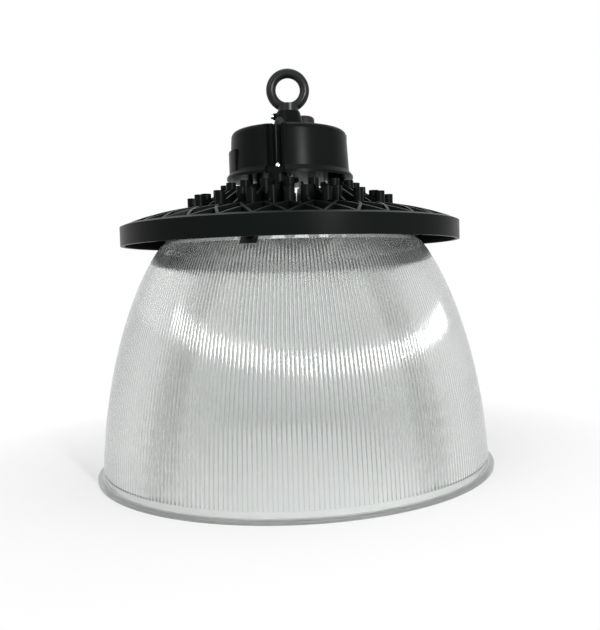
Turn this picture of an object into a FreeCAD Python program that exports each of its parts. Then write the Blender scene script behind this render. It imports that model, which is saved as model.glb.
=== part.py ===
"""High bay light with a net-finned heat sink and a prismatic shade.

The origin is the middle of the shade's bottom rim, +Z runs up the axis to the lifting eye, and the
light's front faces -Y.  Azimuths are turned from the front towards +X.  Lengths are millimetres.
"""
import FreeCAD, Part
import math
import os

import Sketcher

doc = FreeCAD.newDocument("HighBayLight")
sheet = doc.addObject("Spreadsheet::Sheet", "Sizes")
derived = doc.addObject("App::VarSet", "Derived")

DRIVING_SIZES = {
    # clearances shared by every pair that fits together
    "seat_gap": 0.3,
    "thread_gap": 0.1,
    # shade: one clear moulding with prisms outside and a smooth bore
    "shade_foot_radius": 199.5,
    "shade_crown_radius": 118.7,
    "shade_crown_height": 244,
    "shade_rise_power": 1.74,
    "shade_round_power": 1.49,
    "shade_wall": 3,
    "shade_prisms": 150,
    "prism_depth": 1.1,
    "prism_start": 9,
    "prism_end": 231,
    "prism_levels": 7,
    "shade_rim_radius": 205,
    "shade_rim_height": 3,
    "shade_top": 238,
    "shade_lip_radius": 113,
    # heat sink: one casting
    "sink_radius": 174.5,
    "rim_wall": 4,
    "rim_bottom": 231,
    "rim_top": 249.5,
    "web_bottom": 241,
    "dome_radius": 215,
    "fin_foot_radius": 104,
    "fin_foot_height": 266.7,
    "fin_head_radius": 62,
    "fin_head_width": 6,
    "fin_head_height": 288,
    "fin_count": 36,
    "fin_wall": 2.6,
    "fork_radius": 127,
    "node_radius": 149,
    "plate_radius": 125,
    "plate_bottom": 240.2,
    "plate_top": 252,
    "board_recess_top": 246,
    "lead_hole_radius": 6,
    "pin_radius": 5,
    "outer_pin_circle": 102,
    "outer_pin_top": 279,
    "middle_pin_circle": 90,
    "middle_pin_top": 282,
    "inner_pin_circle": 68,
    "inner_pin_top": 292,
    "pin_turn": 10,
    # driver housing and what closes it
    "drum_radius": 62,
    "drum_top_radius": 60,
    "drum_top": 347,
    "drum_bottom": 298,
    "drum_edge": 6,
    "drum_roof": 3.5,
    "drum_lip_radius": 66,
    "drum_lip_height": 2.5,
    "drum_lip_slope": 5,
    "drum_bore_radius": 54,
    "base_seat_radius": 57.5,
    "base_thickness": 3,
    "gasket_thickness": 1.5,
    "gasket_inner_radius": 41.5,
    "leg_circle": 51.5,
    "leg_radius": 9,
    "leg_bottom": 286,
    "leg_turn": -12.2,
    "leg_count": 3,
    "flute_width": 17,
    "flute_back": 53,
    "flute_wall": 3,
    "flute_floor": 304.2,
    "tool_channel_radius": 4.5,
    "side_pad_turn": -80,
    "side_pad_angle": 42,
    "side_pad_depth": 1.2,
    "side_pad_top": 326,
    "side_slot_width": 7,
    "side_slot_depth": 1.6,
    # boss, lifting eye and its lock screw
    "boss_top": 368.5,
    "boss_top_radius": 12,
    "boss_foot_radius": 18,
    "eye_thread": 10,
    "eye_thread_length": 17,
    "eye_ring_outer": 45,
    "eye_ring_inner": 25,
    "eye_centre": 391,
    "eye_collar_radius": 10.8,
    "eye_collar_height": 8,
    "lock_height": 363.5,
    "lock_turn": -80,
    "lock_thread": 5,
    "lock_reach": 18.5,
    "lug_radius": 4.8,
    "lug_tip_radius": 3.4,
    "lug_reach": 16,
    # cable gland and vent
    "gland_x": 15.5,
    "gland_y": 28,
    "gland_thread": 16,
    "gland_hex": 22,
    "gland_hex_height": 5,
    "gland_nut_radius": 12,
    "gland_nut_height": 17,
    "gland_cable": 8,
    "gland_tail": 7,
    "vent_circle": 40,
    "vent_radius": 4.8,
    "vent_height": 8,
    "vent_stem_radius": 2.5,
    # driver, terminals and the lead to the board
    "driver_length": 62,
    "driver_width": 46,
    "driver_height": 30,
    "terminal_length": 26,
    "terminal_width": 14,
    "terminal_height": 10,
    "lead_radius": 3,
    "grommet_radius": 9,
    "grommet_flange": 2,
    # fasteners
    "cover_screw": 4,
    "cover_screw_head": 7.6,
    "cover_screw_head_height": 3.2,
    "cover_screw_length": 36,
    "washer_radius": 4.3,
    "washer_thickness": 0.8,
    "base_screw": 4,
    "base_screw_head": 7.6,
    "base_screw_head_height": 3,
    "base_screw_circle": 37,
    "base_screw_turn": 3,
    "base_screw_count": 4,
    "base_screw_length": 40,
    "base_boss_radius": 4.5,
    "base_boss_top": 268,
    # light engine
    "thermal_sheet_thickness": 0.3,
    "board_radius": 92,
    "board_thickness": 1.6,
    "chip_size": 3,
    "chip_height": 0.7,
    "chip_rings": 4,
    "chip_ring_pitch": 20,
    "lens_radius": 104.7,
    "lens_thickness": 2.5,
    "lens_gasket_width": 7,
    "lens_gasket_thickness": 1,
    "lens_ring_inner_radius": 98,
    "lens_ring_outer_radius": 110.5,
    "lens_ring_thickness": 2,
    "lens_screw": 3,
    "lens_screw_head": 5.6,
    "lens_screw_head_height": 1.8,
    "lens_screw_length": 9,
    "lens_screw_count": 9,
    # shade brackets
    "bracket_count": 3,
    "bracket_turn": -15,
    "bracket_width": 15.5,
    "bracket_thickness": 2,
    "bracket_bottom": 226.7,
    "bracket_screw": 4,
    "bracket_screw_head": 7,
    "bracket_screw_head_height": 2.4,
    "bracket_screw_length": 11,
    "bracket_nut": 7,
    "bracket_nut_height": 3.2,
}

for row, (alias, value) in enumerate(DRIVING_SIZES.items(), start=1):
    sheet.set(f"A{row}", alias)
    sheet.set(f"B{row}", str(value))
    sheet.setAlias(f"B{row}", alias)
doc.recompute()

FRONT = -90


def size(alias):
    """The value of a driving size."""
    return float(getattr(sheet, alias))


def number(expression):
    """The value of an expression written for the document."""
    return float(derived.evalExpression(expression))


def derive(name, expression):
    """Keep a length that follows from the driving sizes under a name of its own."""
    derived.addProperty("App::PropertyFloat", name)
    derived.setExpression(name, expression)
    doc.recompute([derived])


def shade_radius_at(height):
    """The shade's outer radius at a height, as an expression."""
    return (
        "(Sizes.shade_crown_radius + (Sizes.shade_foot_radius - Sizes.shade_crown_radius)"
        f" * (1 - (({height}) / Sizes.shade_crown_height) ^ Sizes.shade_rise_power)"
        " ^ (1 / Sizes.shade_round_power))"
    )


# ---------------------------------------------------------------- derived lengths
derive("half_fin_wall", "Sizes.fin_wall / 2")
derive("half_fin_angle", "180 / Sizes.fin_count")
derive("rim_bore", "Sizes.sink_radius - Sizes.rim_wall")
derive("rim_joint", "Derived.rim_bore + 1")
derive("base_bottom", "Sizes.drum_bottom")
derive("base_top", "Sizes.drum_bottom + Sizes.base_thickness")
derive("gasket_top", "Derived.base_top + Sizes.gasket_thickness")
derive("base_radius", "Sizes.base_seat_radius - Sizes.seat_gap")
derive("roof_bottom", "Sizes.drum_top - Sizes.drum_roof")
derive("lens_top", "Sizes.plate_bottom + Sizes.lens_thickness")
derive("lens_seat", "Derived.lens_top + Sizes.lens_gasket_thickness")
derive("lens_recess_radius", "Sizes.lens_radius + Sizes.seat_gap")
derive("board_recess_radius", "Sizes.lens_radius - Sizes.lens_gasket_width - 3")
derive("board_top", "Sizes.board_recess_top - Sizes.thermal_sheet_thickness")
derive("board_bottom", "Derived.board_top - Sizes.board_thickness")
derive("ring_bottom", "Sizes.plate_bottom - Sizes.lens_ring_thickness")
derive("lens_screw_circle", "(Derived.lens_recess_radius + Sizes.lens_ring_outer_radius) / 2")
derive("bracket_foot_bottom", "Sizes.plate_bottom - Sizes.bracket_thickness")
derive("bracket_foot_radius", "Sizes.shade_lip_radius + 1.5")
derive("bracket_screw_circle", "Derived.bracket_foot_radius + Sizes.bracket_width / 2 - 2.5")
derive("shoulder_radius", shade_radius_at("Sizes.shade_top"))
derive("tab_foot_radius", shade_radius_at("Sizes.bracket_bottom"))
derive("tab_rise", "Sizes.shade_top - Sizes.bracket_bottom")
derive("tab_slope", "(Derived.tab_foot_radius - Derived.shoulder_radius) / Derived.tab_rise")
derive("tab_stretch", "sqrt(1 + Derived.tab_slope ^ 2)")
derive("tab_middle", "(Sizes.shade_top + Sizes.bracket_bottom) / 2")
derive("lip_bottom", "Sizes.shade_top - Sizes.shade_wall")


def tab_inner_radius(height):
    """The radius of a bracket tab's inner face at a height, as an expression."""
    return (
        "(Derived.shoulder_radius + 3 * Sizes.seat_gap"
        f" + Derived.tab_slope * (Sizes.shade_top - ({height})))"
    )


# ---------------------------------------------------------------- modelling helpers
def new_body(label):
    """A PartDesign body named after its sub-part."""
    body = doc.addObject("PartDesign::Body", label)
    body.Label = label
    return body


def new_sketch(body, name, plane, lift="0", turn="0"):
    """A sketch on one of the body's own planes, raised along its normal and turned about +Z."""
    sketch = body.newObject("Sketcher::SketchObject", name)
    support = [item for item in body.Origin.OriginFeatures if item.Role == plane][0]
    sketch.AttachmentSupport = [(support, "")]
    sketch.MapMode = "FlatFace"
    up = FreeCAD.Vector(0, 0, 1) if plane == "XY_Plane" else FreeCAD.Vector(0, 1, 0)
    offset = FreeCAD.Placement(FreeCAD.Vector(0, 0, number(lift)), FreeCAD.Rotation(up, number(turn)))
    sketch.AttachmentOffset = offset
    if lift != "0":
        sketch.setExpression("AttachmentOffset.Base.z", lift)
    return sketch


def draw_outline(sketch, corners, arc_after=None, arc_radius=None):
    """Draw a closed outline whose corners are pairs of expressions.

    The edge that starts at the corner numbered arc_after is an arc, bulging to the outline's left.
    """
    first = sketch.GeometryCount
    points = [FreeCAD.Vector(number(x), number(y), 0) for x, y in corners]
    for index, start in enumerate(points):
        end = points[(index + 1) % len(points)]
        if index == arc_after:
            radius = number(arc_radius)
            chord = end - start
            sagitta = radius - math.sqrt(radius ** 2 - (chord.Length / 2) ** 2)
            left = FreeCAD.Vector(-chord.y, chord.x, 0).normalize()
            crown = (start + end) / 2 + left * sagitta
            sketch.addGeometry(Part.Arc(start, crown, end))
        else:
            sketch.addGeometry(Part.LineSegment(start, end))
    for index, (x, y) in enumerate(corners):
        edge = first + index
        before = first + (index - 1) % len(corners)
        # an arc that runs clockwise is stored the other way round
        start_of_edge = 2 if index == arc_after else 1
        end_of_before = 1 if (index - 1) % len(corners) == arc_after else 2
        sketch.addConstraint(Sketcher.Constraint("Coincident", before, end_of_before, edge, start_of_edge))
        for kind, expression, value in (("DistanceX", x, points[index].x), ("DistanceY", y, points[index].y)):
            constraint = sketch.addConstraint(Sketcher.Constraint(kind, edge, start_of_edge, value))
            sketch.setExpression(f"Constraints[{constraint}]", expression)
    if arc_after is not None:
        bend = sketch.addConstraint(Sketcher.Constraint("Radius", first + arc_after, number(arc_radius)))
        sketch.setExpression(f"Constraints[{bend}]", arc_radius)


def draw_circle(sketch, x, y, radius):
    """Draw a circle whose centre and radius are expressions."""
    centre = FreeCAD.Vector(number(x), number(y), 0)
    circle = sketch.addGeometry(Part.Circle(centre, FreeCAD.Vector(0, 0, 1), number(radius)))
    for kind, expression, value in (("DistanceX", x, centre.x), ("DistanceY", y, centre.y)):
        constraint = sketch.addConstraint(Sketcher.Constraint(kind, circle, 3, value))
        sketch.setExpression(f"Constraints[{constraint}]", expression)
    bend = sketch.addConstraint(Sketcher.Constraint("Radius", circle, number(radius)))
    sketch.setExpression(f"Constraints[{bend}]", radius)


def revolve(body, name, corners, **arc):
    """Turn an outline drawn as radius and height about the axis."""
    sketch = new_sketch(body, name + "Outline", "XZ_Plane")
    draw_outline(sketch, corners, **arc)
    turned = body.newObject("PartDesign::Revolution", name)
    turned.Profile = sketch
    turned.ReferenceAxis = (sketch, ["V_Axis"])
    turned.Angle = 360
    body.Tip = turned
    return turned


def extrude(body, name, sketch, length, cut=False, up=True):
    """Pad a sketch, or cut a pocket from it, upwards or downwards by a length."""
    made = body.newObject("PartDesign::Pocket" if cut else "PartDesign::Pad", name)
    made.Profile = sketch
    made.Length = number(length)
    made.setExpression("Length", length)
    made.Reversed = up if cut else not up
    body.Tip = made
    return made


def column(body, name, x, radius, bottom, top, turn="0", cut=False, y="0"):
    """A round column, or a hole, between two heights."""
    sketch = new_sketch(body, name + "Circle", "XY_Plane", bottom, turn)
    draw_circle(sketch, x, y, radius)
    return extrude(body, name, sketch, f"{top} - ({bottom})", cut=cut)


def block(body, name, inner, outer, half_width, bottom, top, turn="0", cut=False):
    """A radial block, or a slot, between two distances from the axis."""
    sketch = new_sketch(body, name + "Outline", "XY_Plane", bottom, turn)
    corners = [(inner, f"-({half_width})"), (outer, f"-({half_width})"), (outer, half_width), (inner, half_width)]
    draw_outline(sketch, corners)
    return extrude(body, name, sketch, f"{top} - ({bottom})", cut=cut)


def repeat(body, name, originals, count):
    """Repeat features evenly about the axis."""
    upright = [item for item in body.Origin.OriginFeatures if item.Role == "Z_Axis"][0]
    ring = body.newObject("PartDesign::PolarPattern", name)
    ring.Originals = originals
    ring.Axis = (upright, [""])
    ring.Angle = 360
    ring.Occurrences = int(number(count))
    ring.setExpression("Occurrences", count)
    body.Tip = ring
    return ring


def set_down(item, x, y, base):
    """Bind a piece's place to expressions, where it isn't the origin."""
    for axis, expression in (("x", x), ("y", y), ("z", base)):
        if expression != "0":
            item.setExpression(f"Placement.Base.{axis}", expression)


def cylinder(name, radius, height, base="0", x="0", y="0"):
    """A round bar standing on a height."""
    bar = doc.addObject("Part::Cylinder", name)
    bar.setExpression("Radius", radius)
    bar.setExpression("Height", height)
    set_down(bar, x, y, base)
    return bar


def box(name, length, width, height, x="0", y="0", base="0"):
    """A rectangular block standing on a height and centred on a point."""
    made = doc.addObject("Part::Box", name)
    made.setExpression("Length", length)
    made.setExpression("Width", width)
    made.setExpression("Height", height)
    set_down(made, f"{x} - ({length}) / 2", f"{y} - ({width}) / 2", base)
    return made


def fused(label, shapes):
    """One solid from several that meet."""
    joined = doc.addObject("Part::MultiFuse", label)
    joined.Shapes = shapes
    joined.Label = label
    return joined


def cut(label, base, tool):
    """One solid less another."""
    rest = doc.addObject("Part::Cut", label)
    rest.Base = base
    rest.Tool = tool
    rest.Label = label
    return rest


def turned_placement(angle, x=0, z=0, tilt=0):
    """Lean a piece by tilt about Y, set it at a radius and height, then turn it about the axis."""
    lean = FreeCAD.Placement(FreeCAD.Vector(x, 0, z), FreeCAD.Rotation(FreeCAD.Vector(0, 1, 0), tilt))
    swing = FreeCAD.Placement(FreeCAD.Vector(), FreeCAD.Rotation(FreeCAD.Vector(0, 0, 1), angle))
    return swing.multiply(lean)


def angles(count, turn):
    """Evenly spaced directions about the axis, the first one at an azimuth."""
    return [FRONT + turn + index * 360 / count for index in range(int(count))]


def screw(name, thread, head, head_height, length):
    """A pan-head screw that stands head down on the origin's plane, its thread pointing up."""
    cap = cylinder(name + "Head", f"{head} / 2", head_height, f"-({head_height})")
    shank = cylinder(name + "Shank", f"{thread} / 2", length)
    return fused(name, [cap, shank])


def group(label, members):
    """Identical loose pieces that share one node."""
    together = doc.addObject("Part::Compound", label)
    together.Links = members
    together.Label = label
    return together


# ---------------------------------------------------------------- heat sink
def fin_window_corners():
    """The kite between two fins and their forks, drawn about the direction midway between them."""
    derive("fork_slope", "Sizes.fork_radius * sin(Derived.half_fin_angle)"
           " / (Sizes.node_radius - Sizes.fork_radius * cos(Derived.half_fin_angle))")
    derive("fin_slope", "tan(Derived.half_fin_angle)")
    derive("fin_setback", "Derived.half_fin_wall / cos(Derived.half_fin_angle)")
    derive("fork_setback", "Derived.half_fin_wall * sqrt(1 + Derived.fork_slope ^ 2)")
    derive("window_inner_x", "Sizes.fin_head_radius - 4")
    derive("window_inner_y", "Derived.window_inner_x * Derived.fin_slope - Derived.fin_setback")
    derive("window_fork_x", "(Sizes.node_radius * Derived.fork_slope + Derived.fin_setback - Derived.fork_setback)"
           " / (Derived.fin_slope + Derived.fork_slope)")
    derive("window_fork_y", "Derived.window_fork_x * Derived.fin_slope - Derived.fin_setback")
    derive("window_tip_x", "Sizes.node_radius - Derived.fork_setback / Derived.fork_slope")
    return [
        ("Derived.window_inner_x", "-Derived.window_inner_y"),
        ("Derived.window_fork_x", "-Derived.window_fork_y"),
        ("Derived.window_tip_x", "0"),
        ("Derived.window_fork_x", "Derived.window_fork_y"),
        ("Derived.window_inner_x", "Derived.window_inner_y"),
    ]


def rim_window_corners():
    """The triangle between a node and the rim, drawn about the node's direction."""
    derive("rim_slope", "Derived.rim_joint * sin(Derived.half_fin_angle)"
           " / (Derived.rim_joint * cos(Derived.half_fin_angle) - Sizes.node_radius)")
    derive("rim_setback", "Derived.half_fin_wall * sqrt(1 + Derived.rim_slope ^ 2)")
    derive("rim_window_x", "Derived.rim_bore * cos(Derived.half_fin_angle)")
    derive("rim_window_y", "(Derived.rim_window_x - Sizes.node_radius) * Derived.rim_slope - Derived.rim_setback")
    return [
        ("Sizes.node_radius + Derived.rim_setback / Derived.rim_slope", "0"),
        ("Derived.rim_window_x", "-Derived.rim_window_y"),
        ("Derived.rim_window_x", "Derived.rim_window_y"),
    ]


def diamond_corners():
    """The diamond outside a fork, drawn about the fin's direction."""
    derive("node_x", "Sizes.node_radius * cos(Derived.half_fin_angle)")
    derive("node_y", "Sizes.node_radius * sin(Derived.half_fin_angle)")
    derive("inner_slope", "Derived.node_y / (Derived.node_x - Sizes.fork_radius)")
    derive("outer_slope", "Derived.node_y / (Derived.rim_joint - Derived.node_x)")
    derive("inner_setback", "Derived.half_fin_wall * sqrt(1 + Derived.inner_slope ^ 2)")
    derive("outer_setback", "Derived.half_fin_wall * sqrt(1 + Derived.outer_slope ^ 2)")
    derive("diamond_x", "(Derived.rim_joint * Derived.outer_slope + Sizes.fork_radius * Derived.inner_slope"
           " + Derived.inner_setback - Derived.outer_setback) / (Derived.inner_slope + Derived.outer_slope)")
    derive("diamond_y", "(Derived.diamond_x - Sizes.fork_radius) * Derived.inner_slope - Derived.inner_setback")
    return [
        ("Sizes.fork_radius + Derived.inner_setback / Derived.inner_slope", "0"),
        ("Derived.diamond_x", "-Derived.diamond_y"),
        ("Derived.rim_joint - Derived.outer_setback / Derived.outer_slope", "0"),
        ("Derived.diamond_x", "Derived.diamond_y"),
    ]


def make_fin_net():
    """The dome of forked fins and the rim that ties their ends."""
    body = new_body("fin_net")
    derive("fin_root", "(Sizes.board_recess_top + Sizes.plate_top) / 2")
    derive("web_inner_radius", "Sizes.plate_radius - Sizes.rim_wall")
    revolve(body, "Dome", [
        ("Sizes.fin_head_radius", "Derived.fin_root"),
        ("Sizes.fin_head_radius", "Sizes.fin_head_height"),
        ("Sizes.fin_head_radius + Sizes.fin_head_width", "Sizes.fin_head_height"),
        ("Sizes.fin_foot_radius", "Sizes.fin_foot_height"),
        ("Sizes.sink_radius", "Sizes.rim_top"),
        ("Sizes.sink_radius", "Sizes.rim_bottom"),
        ("Derived.rim_bore", "Sizes.rim_bottom"),
        ("Derived.rim_bore", "Sizes.web_bottom"),
        ("Derived.web_inner_radius", "Sizes.web_bottom"),
        ("Derived.web_inner_radius", "Derived.fin_root"),
    ], arc_after=3, arc_radius="Sizes.dome_radius")
    above = "Sizes.fin_head_height + 1"
    depth = "Sizes.fin_head_height - Sizes.rim_bottom + 2"
    between = new_sketch(body, "BetweenFins", "XY_Plane", above, "Derived.half_fin_angle")
    draw_outline(between, fin_window_corners())
    draw_outline(between, rim_window_corners())
    fin_windows = extrude(body, "FinWindows", between, depth, cut=True, up=False)
    astride = new_sketch(body, "BeyondFork", "XY_Plane", above)
    draw_outline(astride, diamond_corners())
    diamonds = extrude(body, "Diamonds", astride, depth, cut=True, up=False)
    repeat(body, "Net", [fin_windows, diamonds], "Sizes.fin_count")
    return body


def make_pins():
    """Three rings of round pins that stand on the plate among the fins."""
    body = new_body("fin_pins")
    body.AllowCompound = True
    for name, turn in (("outer", "Sizes.pin_turn"), ("middle", "0"), ("inner", "Sizes.pin_turn")):
        pin = column(body, name.title() + "Pin", f"Sizes.{name}_pin_circle", "Sizes.pin_radius",
                     "Derived.column_foot", f"Sizes.{name}_pin_top", turn)
        repeat(body, name.title() + "Pins", [pin], "Sizes.fin_count / 2")
    return body


def make_plate():
    """The base plate with its pillars, screw bosses and threaded holes."""
    body = new_body("sink_plate")
    revolve(body, "Plate", [
        ("Sizes.lead_hole_radius", "Sizes.board_recess_top"),
        ("Sizes.lead_hole_radius", "Sizes.plate_top"),
        ("Sizes.plate_radius", "Sizes.plate_top"),
        ("Sizes.plate_radius", "Sizes.plate_bottom"),
        ("Derived.lens_recess_radius", "Sizes.plate_bottom"),
        ("Derived.lens_recess_radius", "Derived.lens_seat"),
        ("Derived.board_recess_radius", "Derived.lens_seat"),
        ("Derived.board_recess_radius", "Sizes.board_recess_top"),
    ])
    pillar = column(body, "Pillar", "Sizes.leg_circle", "Sizes.leg_radius", "Derived.column_foot",
                    "Sizes.leg_bottom", "Sizes.leg_turn - 90")
    pillar_hole = column(body, "PillarHole", "Sizes.leg_circle", "Sizes.cover_screw / 2 + Sizes.thread_gap",
                         "Derived.cover_screw_tip - 1", "Sizes.leg_bottom", "Sizes.leg_turn - 90", cut=True)
    repeat(body, "Pillars", [pillar, pillar_hole], "Sizes.leg_count")
    boss = column(body, "Boss", "Sizes.base_screw_circle", "Sizes.base_boss_radius", "Derived.column_foot",
                  "Sizes.base_boss_top", "Sizes.base_screw_turn - 90")
    boss_hole = column(body, "BossHole", "Sizes.base_screw_circle", "Sizes.base_screw / 2 + Sizes.thread_gap",
                       "Derived.base_screw_tip - 1", "Sizes.base_boss_top", "Sizes.base_screw_turn - 90", cut=True)
    repeat(body, "Bosses", [boss, boss_hole], "Sizes.base_screw_count")
    ring_hole = column(body, "RingHole", "Derived.lens_screw_circle", "Sizes.lens_screw / 2 + Sizes.thread_gap",
                       "Sizes.plate_bottom", "Derived.lens_screw_tip + 1", "Derived.lens_screw_turn", cut=True)
    repeat(body, "RingHoles", [ring_hole], "Sizes.lens_screw_count")
    foot_hole = column(body, "FootHole", "Derived.bracket_screw_circle",
                       "Sizes.bracket_screw / 2 + Sizes.thread_gap", "Sizes.plate_bottom",
                       "Derived.bracket_screw_tip + 1", "Sizes.bracket_turn - 90", cut=True)
    repeat(body, "FootHoles", [foot_hole], "Sizes.bracket_count")
    return body


def make_heat_sink():
    """One casting: the fin net, its pins and the base plate."""
    return fused("heat_sink", [make_fin_net(), make_pins(), make_plate()])


derive("column_foot", "Sizes.plate_top - 1")
derive("cover_screw_seat", "Sizes.flute_floor + Sizes.washer_thickness")
derive("cover_screw_tip", "Derived.cover_screw_seat - Sizes.cover_screw_length")
derive("base_screw_tip", "Derived.base_top - Sizes.base_screw_length")
derive("lens_screw_tip", "Derived.ring_bottom + Sizes.lens_screw_length")
derive("lens_screw_turn", "Sizes.bracket_turn - 90 + 180 / Sizes.lens_screw_count")
derive("bracket_screw_tip", "Derived.lip_bottom + Sizes.bracket_screw_length")



# ---------------------------------------------------------------- driver housing
def leg_outline(body, name, bottom, top, grow, wall, cut=False):
    """The housing's leg and the walls of its flute, as columns to add, or grown as notches to cut."""
    round_part = column(body, name + "Round", "Sizes.leg_circle", f"Sizes.leg_radius + {grow}",
                        bottom, top, "Sizes.leg_turn - 90", cut=cut)
    flat_part = block(body, name + "Flat", f"Sizes.flute_back - {wall} - {grow}",
                      "Sizes.drum_radius - Sizes.drum_roof / 2" if not cut else "Sizes.drum_lip_radius",
                      f"Sizes.flute_width / 2 + {wall} + {grow}",
                      f"{bottom}" if cut else "Sizes.drum_bottom", top, "Sizes.leg_turn - 90", cut=cut)
    return [round_part, flat_part]


def make_driver_cover():
    """The cast drum: boss, three fluted legs, a raised side pad, and holes for eye, gland and vent."""
    body = new_body("driver_cover")
    derive("eye_hole_bottom", "Sizes.boss_top - Sizes.eye_thread_length - 1")
    derive("eye_hole_radius", "Sizes.eye_thread / 2 + Sizes.thread_gap")
    revolve(body, "Drum", [
        ("0", "Derived.roof_bottom"),
        ("0", "Derived.eye_hole_bottom"),
        ("Derived.eye_hole_radius", "Derived.eye_hole_bottom"),
        ("Derived.eye_hole_radius", "Sizes.boss_top"),
        ("Sizes.boss_top_radius", "Sizes.boss_top"),
        ("Sizes.boss_foot_radius", "Sizes.drum_top"),
        ("Sizes.drum_top_radius - Sizes.drum_edge", "Sizes.drum_top"),
        ("Sizes.drum_top_radius", "Sizes.drum_top - Sizes.drum_edge"),
        ("Sizes.drum_radius", "Sizes.drum_bottom + Sizes.drum_lip_height + Sizes.drum_lip_slope"),
        ("Sizes.drum_lip_radius", "Sizes.drum_bottom + Sizes.drum_lip_height"),
        ("Sizes.drum_lip_radius", "Sizes.drum_bottom"),
        ("Sizes.base_seat_radius", "Sizes.drum_bottom"),
        ("Sizes.base_seat_radius", "Derived.gasket_top"),
        ("Sizes.drum_bore_radius", "Derived.gasket_top"),
        ("Sizes.drum_bore_radius", "Derived.roof_bottom"),
    ], arc_after=6, arc_radius="Sizes.drum_edge")
    turn = "Sizes.leg_turn - 90"
    roof = "Derived.roof_bottom + Sizes.drum_roof / 2"
    legs = leg_outline(body, "Leg", "Sizes.leg_bottom", roof, "0", "Sizes.flute_wall")
    outside = "Sizes.drum_lip_radius + 1"
    flute = block(body, "Flute", "Sizes.flute_back", outside, "Sizes.flute_width / 2",
                  "Sizes.flute_floor", "Sizes.drum_top + 1", turn, cut=True)
    channel = column(body, "ToolChannel", "Sizes.leg_circle", "Sizes.tool_channel_radius",
                     "Sizes.flute_floor", "Sizes.drum_top + 1", turn, cut=True)
    lip_gap = block(body, "LipGap", "Sizes.leg_circle + Sizes.leg_radius - 1", outside, "Sizes.leg_radius + 1",
                    "Sizes.drum_bottom - 1", "Sizes.flute_floor", turn, cut=True)
    leg_hole = column(body, "LegHole", "Sizes.leg_circle", "Sizes.cover_screw / 2 + Sizes.thread_gap",
                      "Sizes.leg_bottom", "Sizes.flute_floor", turn, cut=True)
    repeat(body, "Flutes", legs + [flute, channel, lip_gap, leg_hole], "Sizes.leg_count")
    add_side_pad(body)
    column(body, "GlandHole", "Sizes.gland_x", "Sizes.gland_thread / 2 + Sizes.thread_gap",
           "Derived.roof_bottom - 1", "Sizes.drum_top + 1", cut=True, y="Sizes.gland_y")
    column(body, "VentHole", "Sizes.vent_circle", "Sizes.vent_stem_radius + Sizes.thread_gap",
           "Derived.roof_bottom - 1", "Sizes.drum_top + 1", turn, cut=True)
    add_lock_lug(body)
    return body


def add_side_pad(body):
    """A raised pad low on the drum's side, and the shallow slot above it."""
    turn = "Sizes.side_pad_turn - 90"
    outline = new_sketch(body, "SidePadOutline", "XZ_Plane", turn=turn)
    pad_bottom = "Sizes.drum_bottom + Sizes.drum_lip_height"
    draw_outline(outline, [
        ("Sizes.drum_top_radius - 1", pad_bottom),
        ("Sizes.drum_radius + Sizes.side_pad_depth", pad_bottom),
        ("Sizes.drum_radius + Sizes.side_pad_depth", "Sizes.side_pad_top"),
        ("Sizes.drum_top_radius - 1", "Sizes.side_pad_top"),
    ])
    pad = body.newObject("PartDesign::Revolution", "SidePad")
    pad.Profile = outline
    pad.ReferenceAxis = (outline, ["V_Axis"])
    pad.Midplane = True
    pad.setExpression("Angle", "Sizes.side_pad_angle")
    body.Tip = pad
    block(body, "SideSlot", "Sizes.drum_top_radius - Sizes.side_slot_depth", "Sizes.drum_lip_radius",
          "Sizes.side_slot_width / 2", "Sizes.side_pad_top", "Sizes.drum_top - Sizes.drum_edge", turn, cut=True)


def add_lock_lug(body):
    """The tapered lug on the boss and the threaded hole through it."""
    turn = FRONT + size("lock_turn")
    lug = body.newObject("PartDesign::AdditiveCone", "LockLug")
    lug.setExpression("Radius1", "Sizes.lug_radius")
    lug.setExpression("Radius2", "Sizes.lug_tip_radius")
    lug.setExpression("Height", "Sizes.lug_reach - Sizes.boss_top_radius / 2")
    lug.Placement = turned_placement(turn, size("boss_top_radius") / 2, size("lock_height"), 90)
    hole = body.newObject("PartDesign::SubtractiveCylinder", "LockHole")
    hole.setExpression("Radius", "Sizes.lock_thread / 2 + Sizes.thread_gap")
    hole.setExpression("Height", "Sizes.lug_reach")
    hole.Placement = turned_placement(turn, 2, size("lock_height"), 90)
    body.Tip = hole


def make_driver_base():
    """The plate that closes the drum, notched round the legs."""
    body = new_body("driver_base")
    disc = new_sketch(body, "Disc", "XY_Plane", "Derived.base_bottom")
    draw_circle(disc, "0", "0", "Derived.base_radius")
    draw_circle(disc, "0", "0", "Sizes.lead_hole_radius")
    extrude(body, "Base", disc, "Sizes.base_thickness")
    notch = leg_outline(body, "Notch", "Derived.base_bottom - 1", "Derived.base_top + 1", "Sizes.seat_gap",
                        "Sizes.flute_wall", cut=True)
    repeat(body, "Notches", notch, "Sizes.leg_count")
    hole = column(body, "ScrewHole", "Sizes.base_screw_circle", "Sizes.base_screw / 2 + Sizes.thread_gap",
                  "Derived.base_bottom", "Derived.base_top", "Sizes.base_screw_turn - 90", cut=True)
    repeat(body, "ScrewHoles", [hole], "Sizes.base_screw_count")
    return body


def make_cover_gasket():
    """The flat seal between the drum and its base."""
    body = new_body("cover_gasket")
    ring = new_sketch(body, "Ring", "XY_Plane", "Derived.base_top")
    draw_circle(ring, "0", "0", "Derived.base_radius")
    draw_circle(ring, "0", "0", "Sizes.gasket_inner_radius")
    extrude(body, "Gasket", ring, "Sizes.gasket_thickness")
    notch = leg_outline(body, "Notch", "Derived.base_top - 1", "Derived.gasket_top + 1", "Sizes.seat_gap",
                        "Sizes.flute_wall", cut=True)
    repeat(body, "Notches", notch, "Sizes.leg_count")
    return body


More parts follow.
